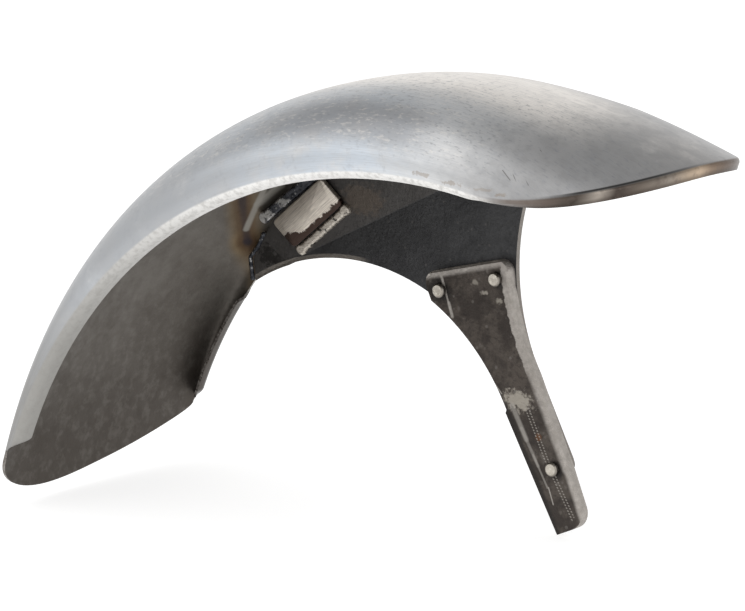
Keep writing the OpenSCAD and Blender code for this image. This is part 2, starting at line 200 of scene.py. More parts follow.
# where each point lies on the sheet: along the arch, across from the near edge, past the start of the
# rolled edge; and for the visor, its share of the edge and the distance past the visor's border
mean_reach, full_share, off_the_visor = 420, 1000, 300
steps_across = np.linalg.norm(np.diff(outer, axis=1), axis=-1)
girth = np.hstack([np.zeros((rows + 1, 1)), np.cumsum(steps_across, axis=1)])
strip_run = np.hstack([bend[:, None] * np.radians(turn)[:, None] * np.arange(1, bends + 1) / bends,
                       (bend * np.radians(turn) + lip)[:, None]])
edge_arch, edge_girth = np.radians(edge_angle) * mean_reach, girth[edge_i, edge_j]
skin_place = np.stack([np.radians(angles) * mean_reach, girth, 0 * girth], -1).reshape(-1, 3)
strip_place = np.stack([np.broadcast_to(edge_arch[:, None], strip_run.shape),
                        np.broadcast_to(edge_girth[:, None], strip_run.shape), strip_run], -1).reshape(-1, 3)
to_visor = -np.radians(front_line - angles) * crown(angles)
skin_edge = np.stack([0 * girth, to_visor, girth[:, -1:] - girth], -1).reshape(-1, 3)
strip_edge = np.stack([np.broadcast_to(full_share * on_visor[:, None], strip_run.shape),
                       strip_run - off_the_visor * (1 - on_visor[:, None]), 0 * strip_run], -1).reshape(-1, 3)

# the small hole through the crown, drilled square to the sheet
hole_angle, hole_radius, drill_reach, drill_sides = -10.7, 3.0, 12, 32
round_hole = 2 * np.pi * np.arange(drill_sides) / drill_sides
across_axis = np.array([0, 1.0, 0])
hole_axis = np.array([np.sin(np.radians(hole_angle)), 0, np.cos(np.radians(hole_angle))])
ring = hole_radius * (np.cos(round_hole)[:, None] * across_axis
                      + np.sin(round_hole)[:, None] * np.cross(hole_axis, across_axis))
ring = ring + hole_axis * crown(np.array(hole_angle))
this = np.arange(drill_sides)
following = (this + 1) % drill_sides
drill_wall = np.stack([this + drill_sides, following + drill_sides, following, this], -1).tolist()
drill_ends = [this.tolist(), (this[::-1] + drill_sides).tolist()]
drill = piece("hole_drill", np.vstack([ring - hole_axis * drill_reach, ring + hole_axis * drill_reach]),
              drill_wall + drill_ends)
cut = shell.modifiers.new("hole", "BOOLEAN")
cut.object, cut.solver = drill, "EXACT"
graph = bpy.context.evaluated_depsgraph_get()
drilled = bpy.data.meshes.new_from_object(shell.evaluated_get(graph), preserve_all_data_layers=True,
                                          depsgraph=graph)
shell.modifiers.clear()
shell.data = drilled
bpy.data.objects.remove(drill)

# the drilled sheet takes each point's place, in metres, from the nearest point of the plain one
finder = KDTree(len(sheet_points))
for number, point in enumerate((sheet_points - pad_centre) * 0.001):
    finder.insert(point, number)
finder.balance()
nearest = [finder.find(vertex.co)[1] for vertex in shell.data.vertices]
for label, skin_part, strip_part in (("shell_place", skin_place, strip_place),
                                     ("shell_edge", skin_edge, strip_edge)):
    values = np.vstack([skin_part, strip_part, skin_part, strip_part])[nearest] * 0.001
    layer = shell.data.attributes.new(label, "FLOAT_VECTOR", "POINT")
    layer.data.foreach_set("vector", values.ravel().astype(np.float32))


def put(tree, kind, sockets=None, **settings):
    """Adds a node: settings are its properties, and sockets maps each socket to a value or an output."""
    made = tree.nodes.new(kind)
    for name, value in settings.items():
        setattr(made, name, value)
    for name, value in (sockets or {}).items():
        if isinstance(value, bpy.types.NodeSocket):
            tree.links.new(value, made.inputs[name])
        else:
            made.inputs[name].default_value = value
    return made


def maths(tree, operation, *values, clamp=False):
    """One operation on numbers or outputs."""
    made = put(tree, "ShaderNodeMath", dict(enumerate(values)), operation=operation, use_clamp=clamp)
    return made.outputs[0]


def times(tree, first, second):
    """The product of two numbers or outputs."""
    return maths(tree, "MULTIPLY", first, second)


def vectors(tree, operation, *values):
    """One vector operation; the result is the number output for a length or a dot product."""
    made = put(tree, "ShaderNodeVectorMath", dict(enumerate(values)), operation=operation)
    return made.outputs[1 if operation in ("LENGTH", "DOT_PRODUCT") else 0]


def parts_of(tree, vector):
    """The X, Y and Z of a vector."""
    return put(tree, "ShaderNodeSeparateXYZ", {0: vector}).outputs


def rise(tree, value, low, high):
    """0 below low, 1 above high, smooth between; low may be the larger, and then it falls."""
    if low > high:
        return maths(tree, "SUBTRACT", 1.0, rise(tree, value, high, low))
    return put(tree, "ShaderNodeMapRange", {"Value": value, "From Min": low, "From Max": high},
               interpolation_type="SMOOTHSTEP").outputs[0]


def near(tree, value, centre, far, close):
    """1 where a value is no further than close from a centre, 0 where it is further than far."""
    return rise(tree, maths(tree, "ABSOLUTE", maths(tree, "SUBTRACT", value, centre)), far, close)


def tint(tree, share, under, over):
    """One colour laid over another: under times one less the share, plus over times the share."""
    paint = {0: share}
    for socket, colour in ((6, under), (7, over)):
        paint[socket] = colour if isinstance(colour, bpy.types.NodeSocket) else (*colour, 1)
    return put(tree, "ShaderNodeMix", paint, data_type="RGBA").outputs[2]


def lay(tree, under, over, mask, strength):
    """One colour laid over another by a mask times a strength."""
    return tint(tree, times(tree, mask, strength), under, over)


def effect(name, inputs, output="Mask"):
    """A shader node group with named inputs and one output, built once for every material that uses it."""
    group = bpy.data.node_groups.new(name, "ShaderNodeTree")
    for label, default in inputs.items():
        kind = "NodeSocketVector" if isinstance(default, tuple) else "NodeSocketFloat"
        group.interface.new_socket(name=label, in_out="INPUT", socket_type=kind).default_value = default
    group.interface.new_socket(name=output, in_out="OUTPUT", socket_type="NodeSocketFloat")
    return group, group.nodes.new("NodeGroupInput").outputs, group.nodes.new("NodeGroupOutput").inputs[0]


def use(tree, group, **sockets):
    """Places an effect in a material with its own values."""
    return put(tree, "ShaderNodeGroup", sockets, node_tree=group).outputs[0]


# clouds: soft patches of a size, cut between two levels of a fractal noise
origin = (0.0, 0.0, 0.0)
clouds, given, result = effect("clouds", {"Place": origin, "Size": 0.02, "Low": 0.4, "High": 0.6})
per_metre = maths(clouds, "DIVIDE", 1.0, given["Size"])
noise = put(clouds, "ShaderNodeTexNoise", {"Vector": given["Place"], "Scale": per_metre,
                                           "Detail": 6.0, "Roughness": 0.62}).outputs[0]
levels = {"Value": noise, "From Min": given["Low"], "From Max": given["High"]}
cut_noise = put(clouds, "ShaderNodeMapRange", levels, interpolation_type="SMOOTHSTEP").outputs[0]
clouds.links.new(cut_noise, result)

# brushing: a noise drawn out along the place's X, for lines left by a belt or a disc
brushing, given, result = effect("brushing", {"Place": origin, "Long": 0.02, "Fine": 0.0006}, "Lines")
stretch = put(brushing, "ShaderNodeCombineXYZ", {0: given["Long"], 1: given["Fine"], 2: given["Fine"]})
drawn = vectors(brushing, "DIVIDE", given["Place"], stretch.outputs[0])
brushing.links.new(put(brushing, "ShaderNodeTexNoise", {"Vector": drawn, "Scale": 1.0, "Detail": 4.0,
                                                        "Roughness": 0.6}).outputs[0], result)

# spot: a soft patch round a centre with a radius each way and a ragged edge
spot, given, result = effect("spot", {"Place": origin, "Centre": origin, "Radius": (0.01, 0.01, 0.01),
                                      "Ragged": 0.6})
from_centre = vectors(spot, "SUBTRACT", given["Place"], given["Centre"])
away = vectors(spot, "LENGTH", vectors(spot, "DIVIDE", from_centre, given["Radius"]))
grain = put(spot, "ShaderNodeTexNoise", {"Vector": given["Place"], "Scale": 260.0, "Detail": 5.0,
                                         "Roughness": 0.7}).outputs[0]
grain = times(spot, maths(spot, "SUBTRACT", grain, 0.5), times(spot, given["Ragged"], 4.0))
spot.links.new(rise(spot, maths(spot, "ADD", away, grain), 1.15, 0.55), result)

# scratch: the strip within a width of the line between two points
scratch, given, result = effect("scratch", {"Place": origin, "Start": origin, "End": (0.01, 0.0, 0.0),
                                            "Width": 0.0005})
from_start = vectors(scratch, "SUBTRACT", given["Place"], given["Start"])
whole = vectors(scratch, "SUBTRACT", given["End"], given["Start"])
part = maths(scratch, "DIVIDE", vectors(scratch, "DOT_PRODUCT", from_start, whole),
             vectors(scratch, "DOT_PRODUCT", whole, whole), clamp=True)
parts = put(scratch, "ShaderNodeCombineXYZ", {0: part, 1: part, 2: part}).outputs[0]
near_line = vectors(scratch, "MULTIPLY", whole, parts)
gap = vectors(scratch, "LENGTH", vectors(scratch, "SUBTRACT", from_start, near_line))
scratch.links.new(rise(scratch, maths(scratch, "DIVIDE", gap, given["Width"]), 1.0, 0.35), result)

# speckle: small round dots in a share of the cells
speckle, given, result = effect("speckle", {"Place": origin, "Size": 0.002, "Share": 0.2})
per_metre = maths(speckle, "DIVIDE", 1.0, given["Size"])
cells = put(speckle, "ShaderNodeTexVoronoi", {"Vector": given["Place"], "Scale": per_metre})
draw = put(speckle, "ShaderNodeSeparateColor", {0: cells.outputs["Color"]}).outputs[0]
picked = maths(speckle, "LESS_THAN", draw, given["Share"])
speckle.links.new(times(speckle, picked, rise(speckle, cells.outputs["Distance"], 0.42, 0.22)), result)


def patches(tree, place, size, low, high):
    """Clouds of a size in metres, cut between two levels."""
    return use(tree, clouds, Place=place, Size=size, Low=low, High=high)


def brushed(tree, place, long, fine):
    """Brushing of a length and a width in metres."""
    return use(tree, brushing, Place=place, Long=long, Fine=fine)


def metres(point):
    """A point or a size in millimetres, divided by 1000."""
    return tuple(c / 1000 for c in point)


def bare_metal(name, metallic=1.0):
    """A material with a bare shader, and its place in object coordinates."""
    made = bpy.data.materials.new(name)
    made.use_nodes = True
    tree = made.node_tree
    shader = tree.nodes["Principled BSDF"]
    shader.inputs["Metallic"].default_value = metallic
    return made, tree, shader, put(tree, "ShaderNodeTexCoord").outputs["Object"]


def surface(tree, shader, colour, roughness, height, lift):
    """Joins a colour, a roughness and a bump height of so many metres to the shader."""
    tree.links.new(colour, shader.inputs["Base Color"])
    tree.links.new(roughness, shader.inputs["Roughness"])
    bump = put(tree, "ShaderNodeBump", {"Height": height, "Distance": lift, "Strength": 1.0})
    tree.links.new(bump.outputs[0], shader.inputs["Normal"])


def mottled(tree, place, size, span, base):
    """A roughness: a base, plus a span times clouds of a size."""
    return maths(tree, "ADD", times(tree, patches(tree, place, size, 0.3, 0.7), span), base)


def pitted(tree, place, size):
    """A bump height of soft clouds of a size."""
    return patches(tree, place, size, 0.2, 0.8)


def spots(tree, place, colour, over, places):
    """Lays one colour over another in spots, each (centre, radius, ragged edge, strength), in millimetres."""
    for centre, radius, ragged, strength in places:
        mask = use(tree, spot, Place=place, Centre=metres(centre), Radius=metres(radius), Ragged=ragged)
        colour = lay(tree, colour, over, mask, strength)
    return colour


def line_mask(tree, place, start, end, width):
    """1 along the line between two points, within a width, in millimetres."""
    return use(tree, scratch, Place=place, Start=metres(start), End=metres(end), Width=width / 1000)


def scratches(tree, place, colour, over, lines):
    """Lays one colour over another along lines, each (start, end, width, strength), in millimetres."""
    for start, end, width, strength in lines:
        colour = lay(tree, colour, over, line_mask(tree, place, start, end, width), strength)
    return colour


shell_steel, tree, shader, place = bare_metal("shell_brushed_steel")
sheet_place = put(tree, "ShaderNodeAttribute", attribute_name="shell_place").outputs["Vector"]
sheet_edge = put(tree, "ShaderNodeAttribute", attribute_name="shell_edge").outputs["Vector"]
along, across, past = parts_of(tree, sheet_place)
visor_share, visor_line, _ = parts_of(tree, sheet_edge)
row_y = parts_of(tree, place)[1]

# bare steel in two greys, bluer beside the near edge, and lighter and warmer towards the crown as a painted
# highlight
colour = tint(tree, patches(tree, sheet_place, 0.05, 0.35, 0.65), (0.60, 0.61, 0.62), (0.70, 0.70, 0.70))
blue = times(tree, rise(tree, across, 0.11, 0.05), patches(tree, sheet_place, 0.03, 0.3, 0.6))
blue = times(tree, blue, rise(tree, along, 0.05, -0.03))
colour = lay(tree, colour, (0.56, 0.63, 0.71), blue, 0.7)
# painted highlight: a lighter, warmer band along the crown
colour = lay(tree, colour, (0.78, 0.72, 0.66), near(tree, across, 0.165, 0.07, 0.0), 0.7)

# darker at the rear, at the tail and in patches towards the visor, a painted dark reflection in a strip near
# the edge, and a painted highlight along the crown above it
rear_dull = times(tree, rise(tree, along, 0.0, -0.24), patches(tree, sheet_place, 0.06, 0.1, 0.5))
colour = lay(tree, colour, (0.37, 0.375, 0.385), rear_dull, 0.85)
colour = lay(tree, colour, (0.27, 0.262, 0.25), rise(tree, along, -0.34, -0.46), 0.8)
# darker in patches towards the visor
front_darkening = times(tree, rise(tree, along, 0.02, 0.12), patches(tree, place, 0.05, 0.15, 0.5))
colour = lay(tree, colour, (0.31, 0.305, 0.305), front_darkening, 0.82)
mottle = times(tree, rise(tree, along, 0.02, 0.10), patches(tree, sheet_place, 0.014, 0.42, 0.64))
# painted reflection: a darker band along the near side, below the crown
painted_dark_reflection = times(tree, near(tree, across, 0.049, 0.034, 0.008),
                    times(tree, rise(tree, along, -0.17, -0.07), rise(tree, along, 0.045, -0.005)))
colour = lay(tree, colour, (0.29, 0.29, 0.30), painted_dark_reflection, 0.72)
# painted highlight: a light warm strip along the top of the crown
painted_crown_highlight = times(tree, near(tree, across, 0.14, 0.058, 0.02),
              times(tree, rise(tree, along, -0.26, -0.12), rise(tree, along, 0.14, 0.06)))
colour = lay(tree, colour, (1.0, 0.95, 0.89), painted_crown_highlight, 0.9)
colour = lay(tree, colour, (0.24, 0.238, 0.238), mottle, 0.28)

# short dark and light dashes left by the wheel, then fine brushing along the arch and small creases
mid = times(tree, rise(tree, across, 0.012, 0.04), rise(tree, across, 0.17, 0.12))
dashes = rise(tree, brushed(tree, sheet_place, 0.0055, 0.0022), 0.55, 0.66)
colour = lay(tree, colour, (0.28, 0.285, 0.30), times(tree, dashes, mid), 0.6)
shifted = vectors(tree, "ADD", sheet_place, (0.3, 0.2, 0.1))
light_dashes = rise(tree, brushed(tree, shifted, 0.006, 0.0026), 0.54, 0.66)
light_dashes = times(tree, light_dashes, times(tree, mid, rise(tree, along, 0.10, 0.02)))
colour = lay(tree, colour, (0.88, 0.83, 0.76), light_dashes, 0.32)
fine = brushed(tree, sheet_place, 0.03, 0.0011)
colour = lay(tree, colour, (0.42, 0.425, 0.43), rise(tree, fine, 0.42, 0.66), 0.30)
creases = patches(tree, place, 0.005, 0.54, 0.68)
colour = lay(tree, colour, (0.38, 0.39, 0.41), creases, 0.25)

# thin rust marks along the near edge ahead of the arch, and short scratches round the visor's corner
colour = spots(tree, place, colour, (0.26, 0.19, 0.125), [
    ((100, -198, 111.5), (6, 9, 1.2), 1.6, 0.4), ((124, -198, 108.5), (7, 9, 1.0), 1.6, 0.4),
    ((146, -197, 107), (9, 9, 0.9), 1.6, 0.3), ((159, -197, 105), (4, 9, 1.2), 1.6, 0.4)])
colour = scratches(tree, place, colour, (0.13, 0.125, 0.12), [
    ((156, -190, 119), (163, -192, 114), 0.5, 0.7), ((160, -188, 121), (167, -191, 113), 0.4, 0.7),
    ((168, -187, 119), (175, -190, 112), 0.5, 0.7), ((150, -192, 117), (156, -194, 111), 0.4, 0.6),
    ((168, -168, 130), (172, -170, 127), 0.4, 0.6), ((199, -165, 124), (214, -166, 118), 0.4, 0.7),
    ((214, -166, 118), (226, -161, 115), 0.4, 0.5)])

# the rolled edge: hammered, and lighter on the near side with a painted reflection of the floor, darker
# towards both ends, and dark on the far side
rolled = times(tree, rise(tree, past, 0.0018, 0.0036), rise(tree, visor_share, 1.0, 0.5))
hammered_and_painted_reflection = times(tree, rolled, rise(tree, row_y, -0.10, -0.14))
far_roll = times(tree, rolled, rise(tree, row_y, -0.14, -0.10))
band = tint(tree, patches(tree, place, 0.004, 0.42, 0.66), (0.86, 0.85, 0.83), (0.66, 0.65, 0.63))
band = lay(tree, band, (0.30, 0.292, 0.275), rise(tree, along, -0.10, -0.42), 0.9)
band = lay(tree, band, (0.26, 0.235, 0.215), rise(tree, along, 0.07, 0.105), 0.75)
# painted reflection: the near rolled edge is made lighter for the floor it faces, over its hammered tone
colour = tint(tree, hammered_and_painted_reflection, colour, band)
colour = tint(tree, far_roll, colour, (0.055, 0.045, 0.037))

# the visor's flange: browned in bands across the shell's width, darker below, with painted shade in a dark
# line along the crease above
flange_bands = (
    (0.0, (0.24, 0.21, 0.19)), (0.05, (0.13, 0.105, 0.09)), (0.09, (0.06, 0.05, 0.042)),
    (0.13, (0.34, 0.30, 0.26)), (0.17, (0.055, 0.044, 0.038)), (0.235, (0.15, 0.125, 0.105)),
    (0.33, (0.27, 0.235, 0.20)), (0.42, (0.42, 0.33, 0.245)), (0.47, (0.50, 0.385, 0.28)),
    (0.53, (0.24, 0.175, 0.125)), (0.60, (0.14, 0.098, 0.07)), (0.70, (0.09, 0.062, 0.045)),
    (1.0, (0.16, 0.13, 0.11)))
shell_width = 2 * half_width / 1000
width_share = times(tree, maths(tree, "ADD", row_y, shell_width), 1 / shell_width)
flange_ramp = put(tree, "ShaderNodeValToRGB", {0: width_share})
stops = flange_ramp.color_ramp.elements
for stop, paint in flange_bands:
    mark = stops[0] if stop == 0.0 else stops[-1] if stop == 1.0 else stops.new(stop)
    mark.position, mark.color = stop, (*paint, 1)
flange = times(tree, rise(tree, past, 0.0004, 0.0020), rise(tree, visor_share, 0.45, 1.0))
browned = lay(tree, flange_ramp.outputs[0], (0.045, 0.036, 0.03), rise(tree, past, 0.0055, 0.0088), 0.6)
browned = lay(tree, browned, (0.13, 0.105, 0.09), patches(tree, place, 0.006, 0.45, 0.75), 0.6)
colour = tint(tree, flange, colour, browned)
# painted shade: a dark line in the hollow between the shell and the flange
crease_painted_shade = times(tree, near(tree, visor_line, 0.0004, 0.0016, 0.0003),
               times(tree, rise(tree, row_y, -0.194, -0.180), rise(tree, row_y, -0.08, -0.15)))
colour = lay(tree, colour, (0.02, 0.018, 0.016), crease_painted_shade, 0.9)

rough = maths(tree, "ADD", times(tree, fine, 0.18), times(tree, creases, 0.08))
rough = maths(tree, "ADD", rough, maths(tree, "ADD", times(tree, hammered_and_painted_reflection, 0.1), 0.24))
dimples = put(tree, "ShaderNodeTexVoronoi", {"Vector": place, "Scale": 300.0}, feature="SMOOTH_F1").outputs[0]
height = maths(tree, "ADD", times(tree, fine, 0.12), times(tree, times(tree, hammered_and_painted_reflection, dimples), 0.6))
height = maths(tree, "ADD", height, times(tree, pitted(tree, place, 0.02), 0.25))
surface(tree, shader, colour, rough, height, 0.0004)

# inside: dull brown steel, darker towards the tail, with faint streaks along the arch
shell_inside, tree, shader, place = bare_metal("shell_dull_inside", 0.55)
row_z = parts_of(tree, place)[2]
colour = tint(tree, patches(tree, place, 0.05, 0.3, 0.7), (0.12, 0.105, 0.09), (0.18, 0.165, 0.145))
colour = lay(tree, colour, (0.066, 0.054, 0.044), rise(tree, row_z, 0.0, -0.12), 0.85)
colour = lay(tree, colour, (0.08, 0.07, 0.06), patches(tree, place, 0.004, 0.5, 0.7), 0.14)
streaks = rise(tree, brushed(tree, place, 0.05, 0.008), 0.45, 0.7)
colour = lay(tree, colour, (0.20, 0.185, 0.165), streaks, 0.35)

# the weld's heat tint beside the wing, straw, brown and dark inwards, then two ground stripes and nicks
heat_low, heat_mid, heat_high = (-197, -6, -26), (-199, -9, 5), (-181, -36, 46)
for heat, width, strength in (((0.26, 0.18, 0.085), 17, 0.55), ((0.10, 0.055, 0.026), 11, 0.75),
                              ((0.030, 0.022, 0.028), 5, 0.75)):
    colour = scratches(tree, place, colour, heat, [(heat_low, heat_mid, width, strength),
                                                   (heat_mid, heat_high, width, strength)])
colour = scratches(tree, place, colour, (0.40, 0.38, 0.34), [
    ((-173, -22, 48), (-196, -14, 16), 3.4, 0.85), ((-163, -15, 51), (-181, -18, 37), 4.6, 0.85)])
colour = scratches(tree, place, colour, (0.03, 0.026, 0.022), [
    ((-178, -38, 52), (-181, -34, 47), 0.4, 0.8), ((-205, -40, 12), (-206, -38, 8), 0.5, 0.8),
    ((-214, -30, -30), (-216, -28, -35), 0.4, 0.6)])
surface(tree, shader, colour, mottled(tree, place, 0.01, 0.15, 0.42), pitted(tree, place, 0.006), 0.00015)

shell_rim, tree, shader, place = bare_metal("shell_cut_edge")
colour = tint(tree, patches(tree, place, 0.006, 0.4, 0.6), (0.34, 0.32, 0.30), (0.20, 0.18, 0.165))
filed = pitted(tree, place, 0.002)
surface(tree, shader, colour, filed, filed, 0.0001)
for paint in (shell_steel, shell_inside, shell_rim):
    shell.data.materials.append(paint)

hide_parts("shell")
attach(shell, "root")


# The side plate. 4 mm hot-rolled plate, flame-cut to shape and bent in along one fold, so that its
# wing meets the shell. Its skin is left dark, and its cut edges are ground bright.
arch_centre, arch_reach = (-181.5 + 73.777, 82.8 - 245.463), 165.8
fold_slope, fold_height = 0.49, 0.0760


def cut_side(tree, flat, square):
    """1 on a plate's cut edges, 0 on its flats: the size of its normal's Y, falling from flat to square."""
    normal = parts_of(tree, put(tree, "ShaderNodeTexCoord").outputs["Normal"])
    return rise(tree, maths(tree, "ABSOLUTE", normal[1]), flat, square)


def side_distance(tree, x, z, centre):
    """Distance in the side view from a centre in millimetres: the length of (x, z) less the centre."""
    x_off, z_off = (maths(tree, "SUBTRACT", value, at / 1000) for value, at in zip((x, z), centre))
    return vectors(tree, "LENGTH", put(tree, "ShaderNodeCombineXYZ", {0: x_off, 2: z_off}).outputs[0])


plate_scale, tree, shader, place = bare_metal("plate_dark_scale", 0.6)
row_x, _, row_z = parts_of(tree, place)
cut_face = cut_side(tree, 0.6, 0.4)
colour = tint(tree, patches(tree, place, 0.04, 0.35, 0.65), (0.045, 0.045, 0.047), (0.068, 0.068, 0.070))
fold_line = maths(tree, "MULTIPLY_ADD", row_x, fold_slope, fold_height)
on_the_wing = rise(tree, maths(tree, "SUBTRACT", row_z, fold_line), -0.001, 0.001)
colour = lay(tree, colour, (0.085, 0.075, 0.066), on_the_wing, 0.5)
colour = lay(tree, colour, (0.03, 0.03, 0.032), patches(tree, place, 0.003, 0.55, 0.68), 0.4)
colour = lay(tree, colour, (0.16, 0.15, 0.14), use(tree, speckle, Place=place, Size=0.003, Share=0.07), 0.3)
colour = spots(tree, place, colour, (0.14, 0.11, 0.085), [((-95, -8, 48), (18, 20, 12), 0.5, 0.6)])
colour = spots(tree, place, colour, (0.02, 0.018, 0.016), [
    ((-183, -6, -2), (9, 14, 8), 1.3, 0.9), ((-174, -6, -5), (8, 14, 5), 1.3, 0.8)])
arch_gap = maths(tree, "SUBTRACT", side_distance(tree, row_x, row_z, arch_centre), arch_reach / 1000)
rim = times(tree, rise(tree, arch_gap, 0.0034, 0.0026), rise(tree, row_x, -0.090, -0.102))
lines = brushed(tree, place, 0.004, 0.0004)
ground = tint(tree, rise(tree, lines, 0.35, 0.65), (0.34, 0.31, 0.28), (0.20, 0.18, 0.16))
colour = tint(tree, maths(tree, "MAXIMUM", cut_face, rim), colour, ground)
surface(tree, shader, colour, mottled(tree, place, 0.012, 0.15, 0.38), pitted(tree, place, 0.004), 0.0002)
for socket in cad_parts["side_plate"].material_slots:
    socket.material = plate_scale


# The leg bracket. 8 mm plate, cut to an outline with a straight leg and bolted to the inner face of
# the side plate, with mottled mill scale on its face and ground chamfers on its top and front.
nose_centre, nose_radius = (227.18, 40.73), 196.2
bracket_scale, tree, shader, place = bare_metal("bracket_mill_scale", 0.6)
row_x, _, row_z = parts_of(tree, place)
cut_face = cut_side(tree, 0.9, 0.8)
colour = tint(tree, patches(tree, place, 0.018, 0.4, 0.6), (0.050, 0.040, 0.034), (0.10, 0.083, 0.070))
colour = lay(tree, colour, (0.04, 0.033, 0.029), patches(tree, place, 0.004, 0.5, 0.62), 0.5)
colour = lay(tree, colour, (0.22, 0.20, 0.18), patches(tree, place, 0.009, 0.60, 0.70), 0.35)
colour = lay(tree, colour, (0.26, 0.24, 0.22), use(tree, speckle, Place=place, Size=0.004, Share=0.1), 0.35)

# painted shadow in dark collars round the studs, set a little off their axes, bare patches where the scale is
# off, a rust spot, and streaks down the leg
# painted shadow: dark collars cast by the standing studs on the face
colour = spots(tree, place, colour, (0.02, 0.017, 0.015), [
    ((-26, -12, -7), (10, 4, 9), 0.5, 0.8), ((-21, -12, -8), (8, 4, 8), 0.1, 0.8),
    ((25.5, -12, 6), (7.6, 4, 7.6), 0.1, 0.85), ((74.5, -12, -119), (7.6, 4, 7.6), 0.1, 0.85)])
colour = spots(tree, place, colour, (0.46, 0.42, 0.36), [
    ((43, -12, -75), (13, 4, 7), 0.8, 0.9), ((14, -12, -4), (3, 4, 2), 0.9, 0.7),
    ((27, -12, -8), (3, 4, 2), 0.9, 0.7), ((30, -12, 9), (5, 4, 2), 0.9, 0.7),
    ((6, -12, 2), (3, 4, 2), 0.9, 0.6)])
colour = spots(tree, place, colour, (0.16, 0.07, 0.03), [((60, -12, -98), (3, 4, 3), 0.6, 0.7)])
colour = scratches(tree, place, colour, (0.50, 0.47, 0.43), [
    ((-23, -12, 4.5), (-19, -12, -7), 1.5, 0.85), ((-19, -12, -7), (-15, -12, -19), 1.0, 0.7),
    ((-16, -12, -15), (-13, -12, -24), 1.8, 0.75), ((38, -12, -79), (50, -12, -101), 2.8, 0.5),
    ((46, -12, -94), (60, -12, -118), 1.8, 0.4), ((56, -12, -111), (68, -12, -132), 1.1, 0.45),
    ((69, -12, -132), (73, -12, -143), 0.7, 0.8), ((-21, -12, -22), (29, -12, -72), 0.8, 0.7)])

# two dotted lines scribed down the leg, each in two stretches, and painted shade on the bevelled facet along
# its rear edge
dot_waves, scribed_width = 3400.0, 0.7
scribed = rise(tree, maths(tree, "SINE", times(tree, row_z, dot_waves)), -0.5, 0.3)
for start, end in (((46, -12, -73), (65, -12, -112)), ((65, -12, -112), (89, -12, -152)),
                   ((49, -12, -73), (68, -12, -112)), ((68, -12, -112), (90, -12, -149))):
    mask = line_mask(tree, place, start, end, scribed_width)
    colour = tint(tree, times(tree, mask, times(tree, scribed, 0.75)), colour, (0.42, 0.39, 0.35))
# painted shade: a dark strip for the bevel along the rear edge, which is not modelled
colour = scratches(tree, place, colour, (0.028, 0.024, 0.021), [((31, -12, -80), (76, -12, -163), 4.6, 0.95)])

# the ground border: ragged along the nose's arc, and straight along the top, the front and the foot
lines = brushed(tree, place, 0.004, 0.0004)
ground = tint(tree, patches(tree, place, 0.005, 0.3, 0.7), (0.57, 0.53, 0.49), (0.42, 0.385, 0.35))
ground = lay(tree, ground, (0.24, 0.215, 0.19), rise(tree, lines, 0.4, 0.65), 0.4)
nose_gap = maths(tree, "SUBTRACT", side_distance(tree, row_x, row_z, nose_centre), nose_radius / 1000)
ragged = maths(tree, "MULTIPLY_ADD", pitted(tree, place, 0.006), 0.0024, 0.0042)
border = times(tree, rise(tree, maths(tree, "SUBTRACT", nose_gap, ragged), 0.0007, -0.0003),
               rise(tree, row_z, -0.062, -0.052))
colour = tint(tree, border, colour, ground)
colour = scratches(tree, place, colour, ground, [
    ((-46, -12, 0.8), (38, -12, 22.5), 5.4, 1.0), ((56, -12, -56), (84, -12, -115.3), 6.5, 0.95),
    ((84, -12, -115.3), (99.5, -12, -153), 5.0, 0.95), ((99, -12, -153), (84, -12, -165), 3.2, 0.9)])
colour = tint(tree, cut_face, colour, ground)
surface(tree, shader, colour, mottled(tree, place, 0.006, 0.18, 0.40), pitted(tree, place, 0.003), 0.0003)
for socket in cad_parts["leg_bracket"].material_slots:
    socket.material = bracket_scale


# The three studs. M10 studs of bright steel, screwed in through the plate and the bracket and left to
# stand out of both, with turned rings on their ends and the first threads showing.
ring_waves, thread_waves = 9000.0, 4800.0
for name, axis in (("stud_rear", (-23.62, -6.86)), ("stud_front", (23.62, 6.86)),
                   ("stud_lower", (72.48, -118.16))):
    stud_steel, tree, shader, place = bare_metal(name + "_bright_steel")
    row_x, row_y, row_z = parts_of(tree, place)
    from_axis = side_distance(tree, row_x, row_z, axis)
    turned = maths(tree, "SINE", times(tree, from_axis, ring_waves))
    wall = rise(tree, from_axis, 0.0044, 0.0048)
    threads_and_groove_shade = times(tree, wall, rise(tree, maths(tree, "SINE", times(tree, row_y, thread_waves)), -0.2, 0.8))
    colour = tint(tree, patches(tree, place, 0.004, 0.35, 0.65), (0.66, 0.62, 0.55), (0.50, 0.46, 0.40))
    colour = lay(tree, colour, (0.26, 0.235, 0.20), rise(tree, turned, 0.2, 0.9), 0.45)
    # painted shade: the chamfer round each end face is darker
    chamfer = times(tree, rise(tree, from_axis, 0.0036, 0.0040), rise(tree, from_axis, 0.0048, 0.0044))
    colour = lay(tree, colour, (0.20, 0.18, 0.155), chamfer, 0.7)
    # painted shade: the side of each stud is darker than its end, and darkest in the thread grooves
    colour = tint(tree, wall, colour, (0.16, 0.145, 0.13))
    colour = lay(tree, colour, (0.03, 0.026, 0.022), threads_and_groove_shade, 0.9)
    rough = mottled(tree, place, 0.002, 0.15, 0.24)
    surface(tree, shader, colour, rough, maths(tree, "ADD", times(tree, turned, 0.15), threads_and_groove_shade), 0.0002)
    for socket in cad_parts[name].material_slots:
        socket.material = stud_steel


